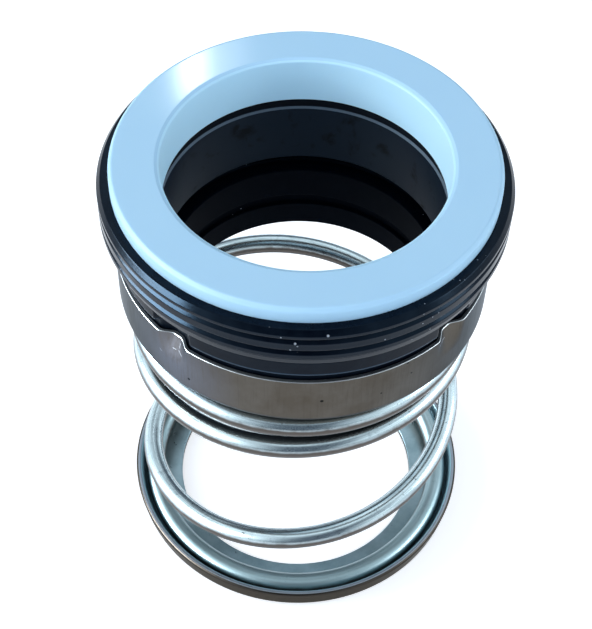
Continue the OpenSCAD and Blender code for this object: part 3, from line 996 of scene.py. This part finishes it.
# An area lamp that looks at the seal; those in shineOnly are seen by glossy surfaces alone
def areaLight(name):
    settings = studio[name]
    light = bpy.data.lights.new(name, "AREA")
    light.shape = "RECTANGLE"
    light.size, light.size_y = settings["size"]
    light.energy = settings["power"]
    light.color = studio["colour"]
    lamp = bpy.data.objects.new(name, light)
    lamp.location = settings["place"]
    towards = Vector(studio["aim"]) - Vector(settings["place"])
    lamp.rotation_euler = towards.to_track_quat("-Z", "Y").to_euler()
    lamp.visible_diffuse = name not in studio["shineOnly"]
    bpy.context.scene.collection.objects.link(lamp)


# The room: cool light from the front, dim at the back and overhead, for all that isn't polished.
# Polished pieces see pale sides and a pale ceiling, and a dark front and back. The camera sees white.
def makeRoom():
    world = bpy.data.worlds.new("room")
    bpy.context.scene.world = world
    world.use_nodes = True
    nodes, links = world.node_tree.nodes, world.node_tree.links
    background = nodes["Background"]
    split = nodes.new("ShaderNodeSeparateXYZ")
    links.new(nodes.new("ShaderNodeTexCoord").outputs["Generated"], split.inputs[0])
    back = ramp(nodes, links, mathNode(nodes, links, "MULTIPLY_ADD", split.outputs["Y"], 0.5, 0.5),
                [(0.30, 0.0), (0.70, 1.0)])
    horizon = mixColour(nodes, links, back, studio["roomFrontLow"], studio["roomBackLow"])
    height = ramp(nodes, links, split.outputs["Z"], [(0.25, 0.0), (0.85, 1.0)])
    sky = mixColour(nodes, links, height, horizon, studio["roomHigh"])
    aside = mathNode(nodes, links, "ABSOLUTE", split.outputs["X"])
    aside = ramp(nodes, links, aside, [(0.22, 0.0), (0.62, 1.0)])
    lift = mathNode(nodes, links, "MULTIPLY_ADD", split.outputs["Y"], 0.25, split.outputs["Z"])
    above = ramp(nodes, links, lift, [(0.65, 0.0), (0.90, 1.0)])
    pale = mathNode(nodes, links, "MAXIMUM", aside, above)
    shine = mixColour(nodes, links, pale, studio["shineFront"], studio["shineSides"])
    rays = nodes.new("ShaderNodeLightPath")
    seen = mixColour(nodes, links, rays.outputs["Is Glossy Ray"], sky, shine)
    plain = mathNode(nodes, links, "MAXIMUM",
                     rays.outputs["Is Camera Ray"], rays.outputs["Is Transmission Ray"])
    links.new(mixColour(nodes, links, plain, seen, (1.0, 1.0, 1.0)), background.inputs["Color"])


# A pale floor that keeps the shadow, with a little glow of its own where it is seen
def makeFloor():
    size = studio["floorSize"] / 2
    mesh = bpy.data.meshes.new("floor")
    corners = [(-size, -size, 0), (size, -size, 0), (size, size, 0), (-size, size, 0)]
    mesh.from_pydata(corners, [], [(0, 1, 2, 3)])
    floor = bpy.data.objects.new("floor", mesh)
    bpy.context.scene.collection.objects.link(floor)
    finish = bpy.data.materials.new("pale_floor")
    finish.use_nodes = True
    nodes, links = finish.node_tree.nodes, finish.node_tree.links
    shader = nodes["Principled BSDF"]
    shader.inputs["Base Color"].default_value = (*studio["floorColour"], 1)
    shader.inputs["Roughness"].default_value = studio["floorRoughness"]
    shader.inputs["Specular IOR Level"].default_value = studio["floorGloss"]
    rays = nodes.new("ShaderNodeLightPath")
    seen = mathNode(nodes, links, "MAXIMUM", rays.outputs["Is Camera Ray"], rays.outputs["Is Glossy Ray"])
    seen = mathNode(nodes, links, "MAXIMUM", seen, rays.outputs["Is Transmission Ray"])
    glow = nodes.new("ShaderNodeEmission")
    links.new(mathNode(nodes, links, "MULTIPLY", seen, studio["floorGlow"]), glow.inputs["Strength"])
    both = nodes.new("ShaderNodeAddShader")
    links.new(shader.outputs[0], both.inputs[0])
    links.new(glow.outputs[0], both.inputs[1])
    links.new(both.outputs[0], nodes["Material Output"].inputs["Surface"])
    mesh.materials.append(finish)


# Camera, looking down at the seal from the front
view = {
    "place": (6.15, -144.08, 218.8),  # in millimetres, and the angles in degrees
    "pitch": 50.622,
    "yaw": -2.76,
    "roll": 1.75,
    "focal": 1450.0,  # in pixels of the photo
    "frameHeight": 629,  # the photo's height in pixels
    "sensor": 36.0,
    "nearest": 0.01,  # in metres
}


# The camera turns by its yaw about Z, its pitch down and its roll about the line of sight
def makeCamera():
    pitch, yaw, roll = [np.radians(view[k]) for k in ("pitch", "yaw", "roll")]
    forward = Vector((np.sin(yaw) * np.cos(pitch), np.cos(yaw) * np.cos(pitch), -np.sin(pitch)))
    right = Vector((np.cos(yaw), -np.sin(yaw), 0))
    up = right.cross(forward)
    rolledRight = right * np.cos(roll) + up * np.sin(roll)
    rolledUp = up * np.cos(roll) - right * np.sin(roll)
    lens = bpy.data.cameras.new("camera")
    lens.sensor_width = view["sensor"]
    lens.lens = view["focal"] * view["sensor"] / view["frameHeight"]
    lens.clip_start = view["nearest"]
    camera = bpy.data.objects.new("camera", lens)
    turn = Matrix((rolledRight, rolledUp, -forward)).transposed().to_4x4()
    camera.matrix_world = Matrix.Translation(Vector(view["place"]) * mm) @ turn
    bpy.context.scene.collection.objects.link(camera)
    bpy.context.scene.camera = camera


for lampName in studio["lamps"]:
    areaLight(lampName)
makeRoom()
makeFloor()
makeCamera()
bpy.context.scene.view_settings.view_transform = "Standard"
print("studio made")
